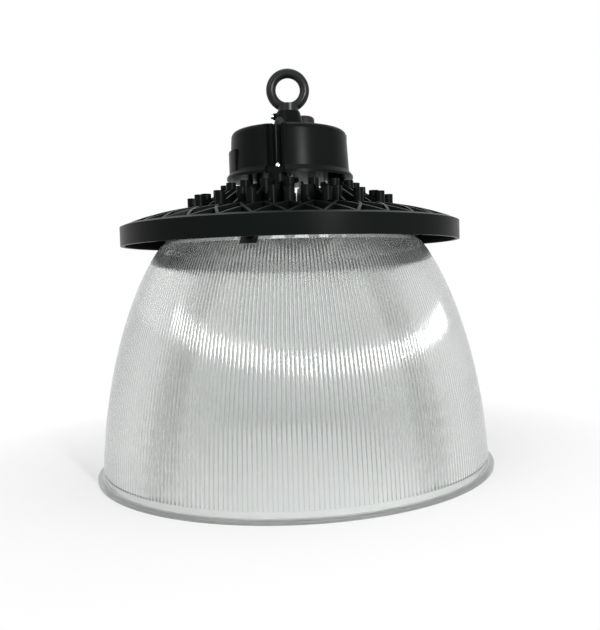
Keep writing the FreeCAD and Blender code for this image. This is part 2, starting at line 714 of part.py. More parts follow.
def make_driver():
    """The potted driver on the base, and its terminal block."""
    driver = box("led_driver", "Sizes.driver_length", "Sizes.driver_width", "Sizes.driver_height",
                 base="Derived.base_top")
    terminals = box("terminal_block", "Sizes.terminal_length", "Sizes.terminal_width", "Sizes.terminal_height",
                    base="Derived.base_top + Sizes.driver_height")
    return [driver, terminals]


def make_grommet(label, seat, thickness, up):
    """A rubber grommet whose flange lies on one face of a plate and whose neck fills the hole."""
    body = new_body(label)
    outward = "1" if up else "-1"
    neck = "(Sizes.lead_hole_radius - Sizes.seat_gap)"
    bore = "(Sizes.lead_radius + Sizes.thread_gap)"
    revolve(body, "Grommet", [
        (bore, f"{seat} + {outward} * Sizes.grommet_flange"),
        ("Sizes.grommet_radius", f"{seat} + {outward} * Sizes.grommet_flange"),
        ("Sizes.grommet_radius", seat),
        (neck, seat),
        (neck, f"{seat} - {outward} * ({thickness})"),
        (bore, f"{seat} - {outward} * ({thickness})"),
    ])
    return body


def make_lead():
    """The lead from the driver down to the board, in its two grommets."""
    lead = cylinder("led_lead", "Sizes.lead_radius", "Derived.base_top - Derived.board_top", "Derived.board_top")
    return [
        lead,
        make_grommet("base_grommet", "Derived.base_bottom", "Sizes.base_thickness", up=False),
        make_grommet("plate_grommet", "Sizes.plate_top", "Sizes.plate_top - Sizes.board_recess_top", up=True),
    ]


# ---------------------------------------------------------------- lifting eye, gland and vent
def make_eye_bolt():
    """A forged lifting eye whose ring faces the front."""
    ring = doc.addObject("Part::Torus", "EyeRing")
    ring.setExpression("Radius1", "(Sizes.eye_ring_outer + Sizes.eye_ring_inner) / 4")
    ring.setExpression("Radius2", "(Sizes.eye_ring_outer - Sizes.eye_ring_inner) / 4")
    ring.Placement = FreeCAD.Placement(FreeCAD.Vector(), FreeCAD.Rotation(FreeCAD.Vector(1, 0, 0), 90))
    ring.setExpression("Placement.Base.z", "Sizes.eye_centre")
    collar = cylinder("EyeCollar", "Sizes.eye_collar_radius", "Sizes.eye_collar_height", "Sizes.boss_top")
    shank = cylinder("EyeShank", "Sizes.eye_thread / 2", "Sizes.eye_thread_length + 1",
                     "Sizes.boss_top - Sizes.eye_thread_length")
    return fused("eye_bolt", [ring, collar, shank])


def make_lock_screw():
    """The set screw in the boss's lug that stops the eye from turning."""
    bar = cylinder("eye_lock_screw", "Sizes.lock_thread / 2",
                   "Sizes.lock_reach - Sizes.eye_thread / 2 - Sizes.thread_gap")
    start = size("eye_thread") / 2 + size("thread_gap")
    bar.Placement = turned_placement(FRONT + size("lock_turn"), start, size("lock_height"), 90)
    return bar


def make_gland():
    """The cable gland: a hexagonal body through the roof, a domed nut and the seal it squeezes."""
    place = {"x": "Sizes.gland_x", "y": "Sizes.gland_y"}
    thread_radius = "Sizes.gland_thread / 2"
    sleeve_radius = "(Sizes.gland_thread / 2 - 2)"
    derive("gland_nut_bottom", "Sizes.drum_top + Sizes.gland_hex_height + Sizes.seat_gap")
    derive("gland_nut_top", "Derived.gland_nut_bottom + Sizes.gland_nut_height")
    derive("gland_seal_bottom", "Sizes.drum_top + Sizes.gland_hex_height - 1")
    derive("gland_seal_top", "Derived.gland_nut_top - 3")
    hexagon = doc.addObject("Part::Prism", "GlandHexagon")
    hexagon.Polygon = 6
    hexagon.setExpression("Circumradius", "Sizes.gland_hex / 2 / cos(30)")
    hexagon.setExpression("Height", "Sizes.gland_hex_height")
    set_down(hexagon, place["x"], place["y"], "Sizes.drum_top")
    stem = cylinder("GlandStem", thread_radius, "Derived.gland_seal_top - Derived.roof_bottom + Sizes.gland_tail - 1",
                    "Derived.roof_bottom - Sizes.gland_tail", **place)
    body = fused("GlandBar", [hexagon, stem])
    seal_seat = cylinder("GlandSealSeat", sleeve_radius, "Sizes.gland_nut_height", "Derived.gland_seal_bottom", **place)
    passage = cylinder("GlandPassage", "Sizes.gland_cable / 2", "Sizes.drum_roof + Sizes.gland_tail + 10",
                       "Derived.roof_bottom - Sizes.gland_tail - 1", **place)
    gland_body = cut("gland_body", body, fused("GlandBore", [seal_seat, passage]))

    shell = cylinder("GlandNutShell", "Sizes.gland_nut_radius", "Sizes.gland_nut_height",
                     "Derived.gland_nut_bottom", **place)
    inside = cylinder("GlandNutThread", f"{thread_radius} + Sizes.thread_gap", "Sizes.gland_nut_height - 3",
                      "Derived.gland_nut_bottom", **place)
    mouth = cylinder("GlandNutMouth", "Sizes.gland_cable / 2 + 1", "Sizes.gland_nut_height",
                     "Derived.gland_nut_bottom", **place)
    nut = doc.addObject("Part::Fillet", "GlandNutDome")
    nut.Base = shell
    doc.recompute([shell])
    top_edge = max(range(len(shell.Shape.Edges)), key=lambda item: shell.Shape.Edges[item].BoundBox.ZMin) + 1
    nut.Edges = [(top_edge, size("gland_nut_radius") / 3, size("gland_nut_radius") / 3)]
    gland_nut = cut("gland_nut", nut, fused("GlandNutBore", [inside, mouth]))

    ring = cylinder("GlandSealRing", f"{sleeve_radius} - Sizes.thread_gap",
                    "Derived.gland_seal_top - Derived.gland_seal_bottom", "Derived.gland_seal_bottom", **place)
    hole = cylinder("GlandSealHole", "Sizes.gland_cable / 2",
                    "Derived.gland_seal_top - Derived.gland_seal_bottom", "Derived.gland_seal_bottom", **place)
    return [gland_body, gland_nut, cut("gland_seal", ring, hole)]


def make_vent():
    """The domed vent plug behind the front flute."""
    body = new_body("vent_plug")
    revolve(body, "Plug", [
        ("0", "Derived.roof_bottom"),
        ("Sizes.vent_stem_radius", "Derived.roof_bottom"),
        ("Sizes.vent_stem_radius", "Sizes.drum_top"),
        ("Sizes.vent_radius", "Sizes.drum_top"),
        ("Sizes.vent_radius", "Sizes.drum_top + Sizes.vent_height / 2"),
        ("Sizes.vent_radius / 2", "Sizes.drum_top + Sizes.vent_height"),
        ("0", "Sizes.drum_top + Sizes.vent_height"),
    ])
    body.Placement = turned_placement(FRONT + size("leg_turn"), size("vent_circle"))
    return body


# ---------------------------------------------------------------- light engine
def make_light_engine():
    """Thermal sheet, board, chips, lens, its gasket and its retaining ring."""
    sheet_disc = cylinder("ThermalDisc", "Sizes.board_radius", "Sizes.thermal_sheet_thickness", "Derived.board_top")
    lead_hole = cylinder("ThermalHole", "Sizes.lead_hole_radius", "Sizes.thermal_sheet_thickness",
                         "Derived.board_top")
    thermal_sheet = cut("thermal_sheet", sheet_disc, lead_hole)
    board = cylinder("led_board", "Sizes.board_radius", "Sizes.board_thickness", "Derived.board_bottom")
    chips = []
    for ring in range(1, int(size("chip_rings")) + 1):
        for angle in angles(6 * ring, 0):
            chip = box(f"Chip{len(chips) + 1}", "Sizes.chip_size", "Sizes.chip_size", "Sizes.chip_height",
                       f"Sizes.chip_ring_pitch * {ring} * cos({angle})",
                       f"Sizes.chip_ring_pitch * {ring} * sin({angle})",
                       "Derived.board_bottom - Sizes.chip_height")
            chips.append(chip)
    lens = cylinder("lens_plate", "Sizes.lens_radius", "Sizes.lens_thickness", "Sizes.plate_bottom")
    gasket_disc = cylinder("LensGasketDisc", "Sizes.lens_radius", "Sizes.lens_gasket_thickness", "Derived.lens_top")
    gasket_hole = cylinder("LensGasketHole", "Sizes.lens_radius - Sizes.lens_gasket_width",
                           "Sizes.lens_gasket_thickness", "Derived.lens_top")
    gasket = cut("lens_gasket", gasket_disc, gasket_hole)
    return [thermal_sheet, board, group("led_chips", chips), lens, gasket, make_lens_ring()]


def make_lens_ring():
    """The flat ring that clamps the lens to the heat sink."""
    body = new_body("lens_ring")
    ring = new_sketch(body, "RingCircles", "XY_Plane", "Derived.ring_bottom")
    draw_circle(ring, "0", "0", "Sizes.lens_ring_outer_radius")
    draw_circle(ring, "0", "0", "Sizes.lens_ring_inner_radius")
    extrude(body, "Ring", ring, "Sizes.lens_ring_thickness")
    hole = column(body, "ScrewHole", "Derived.lens_screw_circle", "Sizes.lens_screw / 2 + Sizes.thread_gap",
                  "Derived.ring_bottom", "Sizes.plate_bottom", "Derived.lens_screw_turn", cut=True)
    repeat(body, "ScrewHoles", [hole], "Sizes.lens_screw_count")
    return body


# ---------------------------------------------------------------- shade and its brackets
def prism_wire(height):
    """The shade's outline at a height: a star with one point to each prism."""
    crest = number(shade_radius_at(str(height)))
    count = int(size("shade_prisms"))
    valley = crest * (1 - size("prism_depth") / size("shade_foot_radius"))
    corners = []
    for step in range(2 * count):
        angle = math.pi * step / count
        radius = valley if step % 2 else crest
        corners.append(FreeCAD.Vector(radius * math.cos(angle), radius * math.sin(angle), height))
    return Part.makePolygon(corners + corners[:1])


def prism_heights():
    """Heights of the sections, closer together towards the rounded shoulder."""
    levels = int(size("prism_levels"))
    start = size("prism_start")
    rise = size("prism_end") - start
    return [start + rise * math.sin(math.pi / 2 * step / levels) for step in range(levels + 1)]


def turned_solid(outline):
    """A solid turned about the axis from pairs of radius and height."""
    corners = [FreeCAD.Vector(radius, 0, height) for radius, height in outline]
    face = Part.Face(Part.makePolygon(corners + corners[:1]))
    return face.revolve(FreeCAD.Vector(), FreeCAD.Vector(0, 0, 1), 360)


def make_shade():
    """One clear moulding: prisms outside, a smooth bore, a rim at the foot and a lip at the top."""
    wall = size("shade_wall")
    start = size("prism_start")
    end = size("prism_end")
    top = size("shade_top")
    rim_top = size("shade_rim_height")
    heights = prism_heights()
    radii = [number(shade_radius_at(str(height))) for height in heights]
    shoulder = number("Derived.shoulder_radius")
    bore_top = top - wall
    bore_shoulder = number(shade_radius_at(str(bore_top))) - wall
    foot_radius = radii[0] + size("thread_gap")
    prisms = Part.makeLoft([prism_wire(height) for height in heights], True, True)
    foot = turned_solid([(0, 0), (size("shade_rim_radius"), 0), (size("shade_rim_radius"), rim_top),
                         (foot_radius, rim_top), (foot_radius, start), (0, start)])
    crown = turned_solid([(0, end), (radii[-1], end), (shoulder, top), (0, top)])
    mouth = size("shade_foot_radius") - wall - size("thread_gap")
    inner = [(0, -1), (mouth, -1), (mouth, start)]
    inner += [(radius - wall, height) for height, radius in zip(heights[1:], radii[1:])]
    inner += [(bore_shoulder, bore_top), (size("shade_lip_radius"), bore_top),
              (size("shade_lip_radius"), top + 1), (0, top + 1)]
    shape = prisms.fuse([foot, crown]).cut(turned_solid(inner))
    hole_radius = size("bracket_screw") / 2 + size("thread_gap")
    for angle in angles(size("bracket_count"), size("bracket_turn")):
        foot_hole = Part.makeCylinder(hole_radius, 2 * wall)
        foot_hole.Placement = turned_placement(angle, number("Derived.bracket_screw_circle"), top - 1.5 * wall)
        wall_hole = Part.makeCylinder(hole_radius, 6 * wall)
        wall_hole.Placement = tab_placement(angle, -3 * wall)
        shape = shape.cut([foot_hole, wall_hole])
    shade = doc.addObject("Part::Feature", "shade")
    shade.Label = "shade"
    shade.Shape = shape.Solids[0] if len(shape.Solids) == 1 else shape
    return shade


def tab_placement(angle, out):
    """A place on the screw line square to a bracket tab, at a distance out from the tab's inner face."""
    lean = math.degrees(math.atan(number("Derived.tab_slope")))
    middle = number("Derived.tab_middle")
    radius = number(tab_inner_radius("Derived.tab_middle"))
    along = FreeCAD.Placement(FreeCAD.Vector(0, 0, out), FreeCAD.Rotation())
    return turned_placement(angle, radius, middle, 90 - lean).multiply(along)


def make_bracket(index, angle):
    """A folded bracket: a foot between the shade's lip and the plate, and a tab down the shoulder."""
    body = new_body(f"shade_bracket_{index}")
    bottom = "Sizes.bracket_bottom"
    side = new_sketch(body, "Side", "XZ_Plane")
    spread = "Sizes.bracket_thickness * Derived.tab_stretch"
    draw_outline(side, [
        ("Derived.bracket_foot_radius", "Derived.bracket_foot_bottom"),
        (tab_inner_radius("Derived.bracket_foot_bottom"), "Derived.bracket_foot_bottom"),
        (tab_inner_radius(bottom), bottom),
        (f"{tab_inner_radius(bottom)} + {spread}", bottom),
        (f"{tab_inner_radius('Sizes.plate_bottom')} + {spread}", "Sizes.plate_bottom"),
        ("Derived.bracket_foot_radius", "Sizes.plate_bottom"),
    ])
    folded = body.newObject("PartDesign::Pad", "Folded")
    folded.Profile = side
    folded.Midplane = True
    folded.setExpression("Length", "Sizes.bracket_width")
    body.Tip = folded
    column(body, "FootHole", "Derived.bracket_screw_circle", "Sizes.bracket_screw / 2 + Sizes.thread_gap",
           "Derived.bracket_foot_bottom - 1", "Sizes.plate_bottom + 1", cut=True)
    tab_hole = body.newObject("PartDesign::SubtractiveCylinder", "TabHole")
    tab_hole.setExpression("Radius", "Sizes.bracket_screw / 2 + Sizes.thread_gap")
    tab_hole.setExpression("Height", "3 * Sizes.bracket_thickness")
    tab_hole.Placement = tab_placement(0, -size("bracket_thickness"))
    body.Tip = tab_hole
    body.Placement = turned_placement(angle)
    return body


# ---------------------------------------------------------------- fasteners
def screws_about_axis(label, kind, count, turn, radius, seat, head_down, head_turn=0):
    """Pan-head screws parallel to the axis, evenly spaced about it."""
    members = []
    for index, angle in enumerate(angles(size(count), turn), start=1):
        member = screw(f"{label}_{index}", f"Sizes.{kind}", f"Sizes.{kind}_head",
                       f"Sizes.{kind}_head_height", f"Sizes.{kind}_length")
        member.Placement = turned_placement(angle, number(radius), number(seat), 0 if head_down else 180)
        members.append(member)
    return group(label, members)


def make_fasteners():
    """Every screw, washer and nut, each kind in one group."""
    legs = angles(size("leg_count"), size("leg_turn"))
    washers = []
    for index, angle in enumerate(legs, start=1):
        disc = cylinder(f"WasherDisc{index}", "Sizes.washer_radius", "Sizes.washer_thickness")
        hole = cylinder(f"WasherHole{index}", "Sizes.cover_screw / 2 + Sizes.thread_gap", "Sizes.washer_thickness")
        washer = cut(f"cover_washer_{index}", disc, hole)
        washer.Placement = turned_placement(angle, size("leg_circle"), size("flute_floor"))
        washers.append(washer)
    tab_screws = []
    tab_nuts = []
    for index, angle in enumerate(angles(size("bracket_count"), size("bracket_turn")), start=1):
        member = screw(f"shade_screw_{index}", "Sizes.bracket_screw", "Sizes.bracket_screw_head",
                       "Sizes.bracket_screw_head_height", "Sizes.bracket_screw_length")
        outward = tab_placement(angle, size("bracket_thickness"))
        about_face = FreeCAD.Placement(FreeCAD.Vector(), FreeCAD.Rotation(FreeCAD.Vector(0, 1, 0), 180))
        member.Placement = outward.multiply(about_face)
        tab_screws.append(member)
        hexagon = doc.addObject("Part::Prism", f"NutHexagon{index}")
        hexagon.Polygon = 6
        hexagon.setExpression("Circumradius", "Sizes.bracket_nut / 2 / cos(30)")
        hexagon.setExpression("Height", "Sizes.bracket_nut_height")
        hole = cylinder(f"NutHole{index}", "Sizes.bracket_screw / 2 + Sizes.thread_gap", "Sizes.bracket_nut_height")
        nut = cut(f"shade_nut_{index}", hexagon, hole)
        nut.Placement = tab_placement(angle, -number("Derived.nut_depth"))
        tab_nuts.append(nut)
    return [
        screws_about_axis("cover_screws", "cover_screw", "leg_count", size("leg_turn"),
                          "Sizes.leg_circle", "Derived.cover_screw_seat", head_down=False),
        group("cover_washers", washers),
        screws_about_axis("base_screws", "base_screw", "base_screw_count", size("base_screw_turn"),
                          "Sizes.base_screw_circle", "Derived.base_top", head_down=False),
        screws_about_axis("lens_screws", "lens_screw", "lens_screw_count",
                          number("Derived.lens_screw_turn") - FRONT,
                          "Derived.lens_screw_circle", "Derived.ring_bottom", head_down=True),
        screws_about_axis("bracket_screws", "bracket_screw", "bracket_count", size("bracket_turn"),
                          "Derived.bracket_screw_circle", "Derived.lip_bottom", head_down=True),
        group("shade_screws", tab_screws),
        group("shade_nuts", tab_nuts),
    ]


derive("nut_depth", "3 * Sizes.seat_gap / Derived.tab_stretch + Sizes.shade_wall / Derived.tab_stretch"
       " + Sizes.bracket_nut_height + Sizes.seat_gap")

sub_parts = [make_heat_sink(), make_driver_cover(), make_driver_base(), make_cover_gasket()]
sub_parts += make_driver() + make_lead()
sub_parts += [make_eye_bolt(), make_lock_screw()] + make_gland() + [make_vent()]
sub_parts += make_light_engine()
sub_parts += [make_shade()]
bracket_angles = angles(size("bracket_count"), size("bracket_turn"))
sub_parts += [make_bracket(index, angle) for index, angle in enumerate(bracket_angles, start=1)]
sub_parts += make_fasteners()
doc.recompute()

# ---------------------------------------------------------------- checks and files
for item in doc.Objects:
    if "Invalid" in item.State or "Error" in item.State:
        raise SystemExit(f"{item.Name} did not rebuild: {item.State}")
for sub_part in sub_parts:
    if sub_part.Shape.isNull() or not sub_part.Shape.isValid():
        raise SystemExit(f"{sub_part.Label} has no valid shape")

os.makedirs("parts", exist_ok=True)
for sub_part in sub_parts:
    sub_part.Shape.exportStep(f"parts/{sub_part.Label}.step")
    print(sub_part.Label, len(sub_part.Shape.Solids), round(sub_part.Shape.Volume))
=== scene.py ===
import math
from typing import NamedTuple

import bmesh
import bpy
from bpy.props import (
    FloatProperty,
    FloatVectorProperty,
    IntProperty,
    PointerProperty,
)
from mathutils import Matrix, Vector


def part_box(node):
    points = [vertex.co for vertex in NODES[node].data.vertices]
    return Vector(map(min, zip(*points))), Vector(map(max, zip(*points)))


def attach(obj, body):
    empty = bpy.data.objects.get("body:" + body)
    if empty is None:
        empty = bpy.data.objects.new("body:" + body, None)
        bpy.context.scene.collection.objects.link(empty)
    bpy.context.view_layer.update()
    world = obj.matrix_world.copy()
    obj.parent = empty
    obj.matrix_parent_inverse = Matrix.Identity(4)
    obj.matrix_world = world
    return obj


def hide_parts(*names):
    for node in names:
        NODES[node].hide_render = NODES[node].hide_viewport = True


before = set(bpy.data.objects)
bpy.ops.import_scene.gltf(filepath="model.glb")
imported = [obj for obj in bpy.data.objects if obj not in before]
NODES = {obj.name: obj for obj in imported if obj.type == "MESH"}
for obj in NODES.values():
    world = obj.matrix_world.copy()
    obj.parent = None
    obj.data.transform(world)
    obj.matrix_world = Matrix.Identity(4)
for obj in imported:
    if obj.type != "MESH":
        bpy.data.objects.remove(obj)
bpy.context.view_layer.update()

bl_info = {
    "name": "High bay light",
    "version": (1, 0, 0),
    "blender": (4, 5, 0),
    "location": "View3D > Sidebar > High Bay",
    "description": "Dresses the high bay light with its shade, lens, screws and finishes",
    "category": "Object",
}

MM = 0.001

# Powers of the oval curve that the bell follows, up its height and out over its radius
BELL_RISE, BELL_REACH = 1.74, 1.49

# Rounded screw head from its flat face to its seat: shares of its radius and of its height
HEAD_PROFILE = ((0.78, 1.0), (0.93, 0.82), (1.0, 0.5), (1.0, 0.0))

DUST_COLOUR = (0.32, 0.31, 0.29)


class ScrewRow(NamedTuple):
    """A circle of like screws. Angles are in degrees, and lengths in metres."""

    count: int
    first_angle: float
    circle: float
    head_radius: float
    head_height: float
    shank_radius: float
    head_down: bool


# By the CAD node that each row of screws takes the place of
SCREW_ROWS = {
    "cover_screws": ScrewRow(3, -102.2, 51.5 * MM, 3.8 * MM, 3.2 * MM, 2.0 * MM, False),
    "lens_screws": ScrewRow(9, -85.0, 107.74 * MM, 2.8 * MM, 1.8 * MM, 1.5 * MM, True),
    "bracket_screws": ScrewRow(3, -105.0, 119.75 * MM, 3.5 * MM, 2.4 * MM, 2.0 * MM, True),
}


class Lamp(NamedTuple):
    """A square studio lamp: its power setting, where it stands and how wide it is."""

    power: str
    place: tuple
    width: float


LAMPS = {
    "front_lamp": Lamp("front", (0.62, -1.37, 0.66), 0.12),
    "key_softbox": Lamp("key", (-0.9, -1.1, 1.2), 0.9),
    "fill_softbox": Lamp("fill", (1.3, -0.7, 0.7), 0.9),
    "top_softbox": Lamp("top", (0.0, 0.1, 1.5), 0.8),
}
LAMP_AIM = (0, 0, 0.18)


# ---------------------------------------------------------------- settings


def length_setting(name, description, default):
    """A length, shown to a hundredth of a millimetre."""
    return FloatProperty(
        name=name, description=description, default=default, precision=5, unit="LENGTH"
    )


def angle_setting(name, description, default):
    """An angle."""
    return FloatProperty(name=name, description=description, default=default, subtype="ANGLE")


def power_setting(name, description, default):
    """The power of a lamp."""
    return FloatProperty(name=name, description=description, default=default, unit="POWER")


def colour_setting(name, description, default):
    """A colour."""
    return FloatVectorProperty(
        name=name, description=description, default=default, size=3, subtype="COLOR"
    )


class ShadeSettings(bpy.types.PropertyGroup):
    """Sizes of the clear prismatic shade."""

    prisms: IntProperty(
        name="Prisms", description="Upright prisms moulded round the shade", default=300, min=24
    )
    prism_points: IntProperty(
        name="Prism points", description="Points across one prism", default=10, min=4
    )
    prism_depth: length_setting("Prism depth", "Depth of a prism at the shade's foot", 1.38 * MM)
    prism_flank: angle_setting(
        "Prism flank", "Lean of a prism's side where it meets the next one", math.radians(67)
    )
    rim_top: length_setting("Rim top", "Height of the top of the rim", 3 * MM)
    band_top: length_setting("Band top", "Height where the prisms start", 9 * MM)
    prism_top: length_setting("Prism top", "Height where the prisms end", 231 * MM)
    foot_radius: length_setting(
        "Foot radius", "Outside radius over the prisms at the foot", 199.5 * MM
    )
    crown_radius: length_setting(
        "Crown radius", "Outside radius where the curve of the bell would end", 118.7 * MM
    )
    crown_height: length_setting(
        "Crown height", "Height where the curve of the bell would end", 244 * MM
    )
    shoulder_radius: length_setting(
        "Shoulder radius", "Radius where the bell meets its flat top", 128.4 * MM
    )
    lip_radius: length_setting("Lip radius", "Radius of the opening in the flat top", 113 * MM)
    wall: length_setting("Wall", "Thickness of the moulded wall", 3 * MM)
    levels: IntProperty(
        name="Levels", description="Rings of the mesh from foot to crown", default=22, min=6
    )


class LensSettings(bpy.types.PropertyGroup):
    """Sizes of the lens domes, and the layout of the light sources behind them."""

    dome_radius: length_setting("Dome radius", "Radius of one lens dome", 5.5 * MM)
    dome_height: length_setting(
        "Dome height", "How far a dome stands below the plate", 2.0 * MM
    )
    light_rings: IntProperty(
        name="Light rings", description="Rings of light sources round the axis", default=4, min=1
    )
    light_reach: length_setting(
        "Light reach", "Radius of the outermost ring of light sources", 80 * MM
    )


class WebSettings(bpy.types.PropertyGroup):
    """Sizes of the webs between the inner pins and the middle of the heat sink."""

    count: IntProperty(name="Webs", description="Webs round the axis", default=36, min=3)
    thickness: length_setting("Thickness", "Thickness of one web", 2.4 * MM)
    inner: length_setting("Inner end", "Radius of the inner end", 42 * MM)
    outer: length_setting("Outer end", "Radius of the outer end", 64 * MM)
    foot: length_setting("Foot", "Height of the foot", 251.5 * MM)
    top: length_setting("Top", "Height of the top", 283 * MM)


class ScrewSettings(bpy.types.PropertyGroup):
    """Shape of the screws."""

    socket_share: FloatProperty(
        name="Socket share",
        description="Width of the hexagon socket over the width of the head",
        default=0.52,
    )
    socket_depth: FloatProperty(
        name="Socket depth",
        description="Depth of the socket over the height of the head",
        default=0.6,
    )


class FinishSettings(bpy.types.PropertyGroup):
    """Colours of the finishes."""

    casting: colour_setting("Casting", "Powder coat of the castings", (0.0030, 0.0042, 0.0035))
    steel: colour_setting(
        "Black steel", "Paint of the eye bolt and brackets", (0.006, 0.007, 0.0065)
    )
    zinc: colour_setting("Zinc", "Plating of the bright screws", (0.62, 0.63, 0.62))
    plastic: colour_setting("Black plastic", "Moulded glands and plugs", (0.012, 0.012, 0.012))
    shade: colour_setting("Shade", "Clear polycarbonate of the shade", (0.70, 0.715, 0.705))
    # Painted shade: the valleys between prisms are tinted darker, standing in for the dark lines
    # that refraction draws there.
    valley: colour_setting(
        "Valley", "Clear polycarbonate between two prisms", (0.60, 0.62, 0.605)
    )
    # Partly painted shade: the rim is tinted darker than the rest of the shade, standing in for
    # the darker surround it shows; its frost is real and comes from roughness.
    rim: colour_setting("Rim", "Frosted rim of the shade", (0.44, 0.45, 0.44))


class StageSettings(bpy.types.PropertyGroup):
    """Camera and lamps."""

    camera_place: FloatVectorProperty(
        name="Camera place",
        description="Where the camera stands",
        subtype="TRANSLATION",
        size=3,
        default=(0.01238, -0.76882, 0.19716),
    )
    camera_yaw: angle_setting("Camera yaw", "Turn of the camera to the right", 0.0435)
    camera_pitch: angle_setting("Camera pitch", "Tilt of the camera below level", 0.0553)
    camera_roll: angle_setting("Camera roll", "Roll of the camera about its own axis", 0.0275)
    lens: FloatProperty(
        name="Lens",
        description="Focal length",
        subtype="DISTANCE_CAMERA",
        unit="CAMERA",
        default=41.317,
    )
    shift: FloatProperty(
        name="Shift",
        description="Sideways shift that frames the light",
        default=-0.0598,
        precision=4,
    )
    front: power_setting("Front", "Power of the small lamp in front", 20.0)
    key: power_setting("Key", "Power of the key softbox", 8.0)
    fill: power_setting("Fill", "Power of the fill softbox", 2.0)
    top: power_setting("Top", "Power of the overhead softbox", 4.0)
    sky: FloatProperty(name="Sky", description="Strength of the plain surround", default=0.45)


# ---------------------------------------------------------------- materials


def new_group(name, inputs, outputs):
    """An empty node group with float or colour sockets: {name: default}."""
    tree = bpy.data.node_groups.new(name, "ShaderNodeTree")
    for side, sockets in (("INPUT", inputs), ("OUTPUT", outputs)):
        for label, default in sockets.items():
            kind = "NodeSocketColor" if isinstance(default, tuple) else "NodeSocketFloat"
            socket = tree.interface.new_socket(label, in_out=side, socket_type=kind)
            if side == "INPUT":
                socket.default_value = (*default, 1) if isinstance(default, tuple) else default
    return tree, tree.nodes.new("NodeGroupInput"), tree.nodes.new("NodeGroupOutput")


def node(tree, kind, links=None, **values):
    """A node with its properties and socket values set, and its inputs linked."""
    made = tree.nodes.new(kind)
    for key, value in values.items():
        if hasattr(made, key):
            setattr(made, key, value)
        else:
            made.inputs[key.replace("_", " ")].default_value = value
    for key, source in (links or {}).items():
        tree.links.new(source, made.inputs[key])
    return made


def math_node(tree, operation, *values):
    """Result of a Math node, whose values are sockets or numbers."""
    made = node(tree, "ShaderNodeMath", operation=operation)
    for slot, value in enumerate(values):
        if isinstance(value, bpy.types.NodeSocket):
            tree.links.new(value, made.inputs[slot])
        else:
            made.inputs[slot].default_value = value
    return made.outputs[0]


def mix_colours(tree, mask, base, over):
    """Colour socket that goes from base, a socket or a colour, to the colour over by a mask."""
    made = node(tree, "ShaderNodeMix", {"Factor": mask}, data_type="RGBA")
    if isinstance(base, bpy.types.NodeSocket):
        tree.links.new(base, made.inputs["A"])
    else:
        made.inputs["A"].default_value = (*base, 1)
    made.inputs["B"].default_value = (*over, 1)
    return made.outputs["Result"]


def mix_surface(tree, mask, under, over):
    """Gives the material's output the surface under where the mask is nought, and over at one."""
    mixed = node(tree, "ShaderNodeMixShader", {0: mask, 1: under.outputs[0], 2: over.outputs[0]})
    tree.links.new(mixed.outputs[0], tree.nodes["Material Output"].inputs["Surface"])


def grain_group():
    """Fine grain of a coated, cast or moulded surface: its colour, roughness and relief."""
    tree, inlet, outlet = new_group(
        "surface_grain",
        {
            "Scale": 900.0,
            "Roughness": 0.5,
            "Spread": 0.1,
            "Colour": (0.5, 0.5, 0.5),
            "Tone": 0.1,
        },
        {"Colour": (0.5, 0.5, 0.5), "Roughness": 0.5, "Height": 0.0},
    )
    place = node(tree, "ShaderNodeTexCoord")
    fine = node(
        tree,
        "ShaderNodeTexNoise",
        {"Vector": place.outputs["Object"], "Scale": inlet.outputs["Scale"]},
        Detail=3.0,
    )
    broad = node(
        tree, "ShaderNodeTexNoise", {"Vector": place.outputs["Object"]}, Scale=38.0, Detail=4.0
    )
    swing = math_node(tree, "SUBTRACT", broad.outputs["Fac"], 0.5)
    rough = math_node(tree, "MULTIPLY", swing, inlet.outputs["Spread"])
    rough = math_node(tree, "ADD", inlet.outputs["Roughness"], rough)
    tone = math_node(tree, "MULTIPLY", swing, inlet.outputs["Tone"])
    tone = math_node(tree, "ADD", tone, 1.0)
    toned = node(
        tree, "ShaderNodeHueSaturation", {"Color": inlet.outputs["Colour"], "Value": tone}
    )
    tree.links.new(toned.outputs["Color"], outlet.inputs["Colour"])
    tree.links.new(rough, outlet.inputs["Roughness"])
    tree.links.new(fine.outputs["Fac"], outlet.inputs["Height"])
    return tree


def dust_group():
    """Mask of fine dust that settles on what faces up."""
    tree, inlet, outlet = new_group("settled_dust", {"Amount": 0.1}, {"Mask": 0.0})
    facing = node(tree, "ShaderNodeNewGeometry")
    split = node(tree, "ShaderNodeSeparateXYZ", {"Vector": facing.outputs["Normal"]})
    up = node(
        tree, "ShaderNodeMapRange", {"Value": split.outputs["Z"]}, From_Min=0.3, From_Max=1.0
    )
    place = node(tree, "ShaderNodeTexCoord")
    specks = node(
        tree, "ShaderNodeTexNoise", {"Vector": place.outputs["Object"]}, Scale=160.0, Detail=5.0
    )
    patch = node(
        tree, "ShaderNodeMapRange", {"Value": specks.outputs["Fac"]}, From_Min=0.35, From_Max=0.75
    )
    amount = math_node(tree, "MULTIPLY", up.outputs[0], inlet.outputs["Amount"])
    mask = math_node(tree, "MULTIPLY", amount, patch.outputs[0])
    tree.links.new(mask, outlet.inputs["Mask"])
    return tree


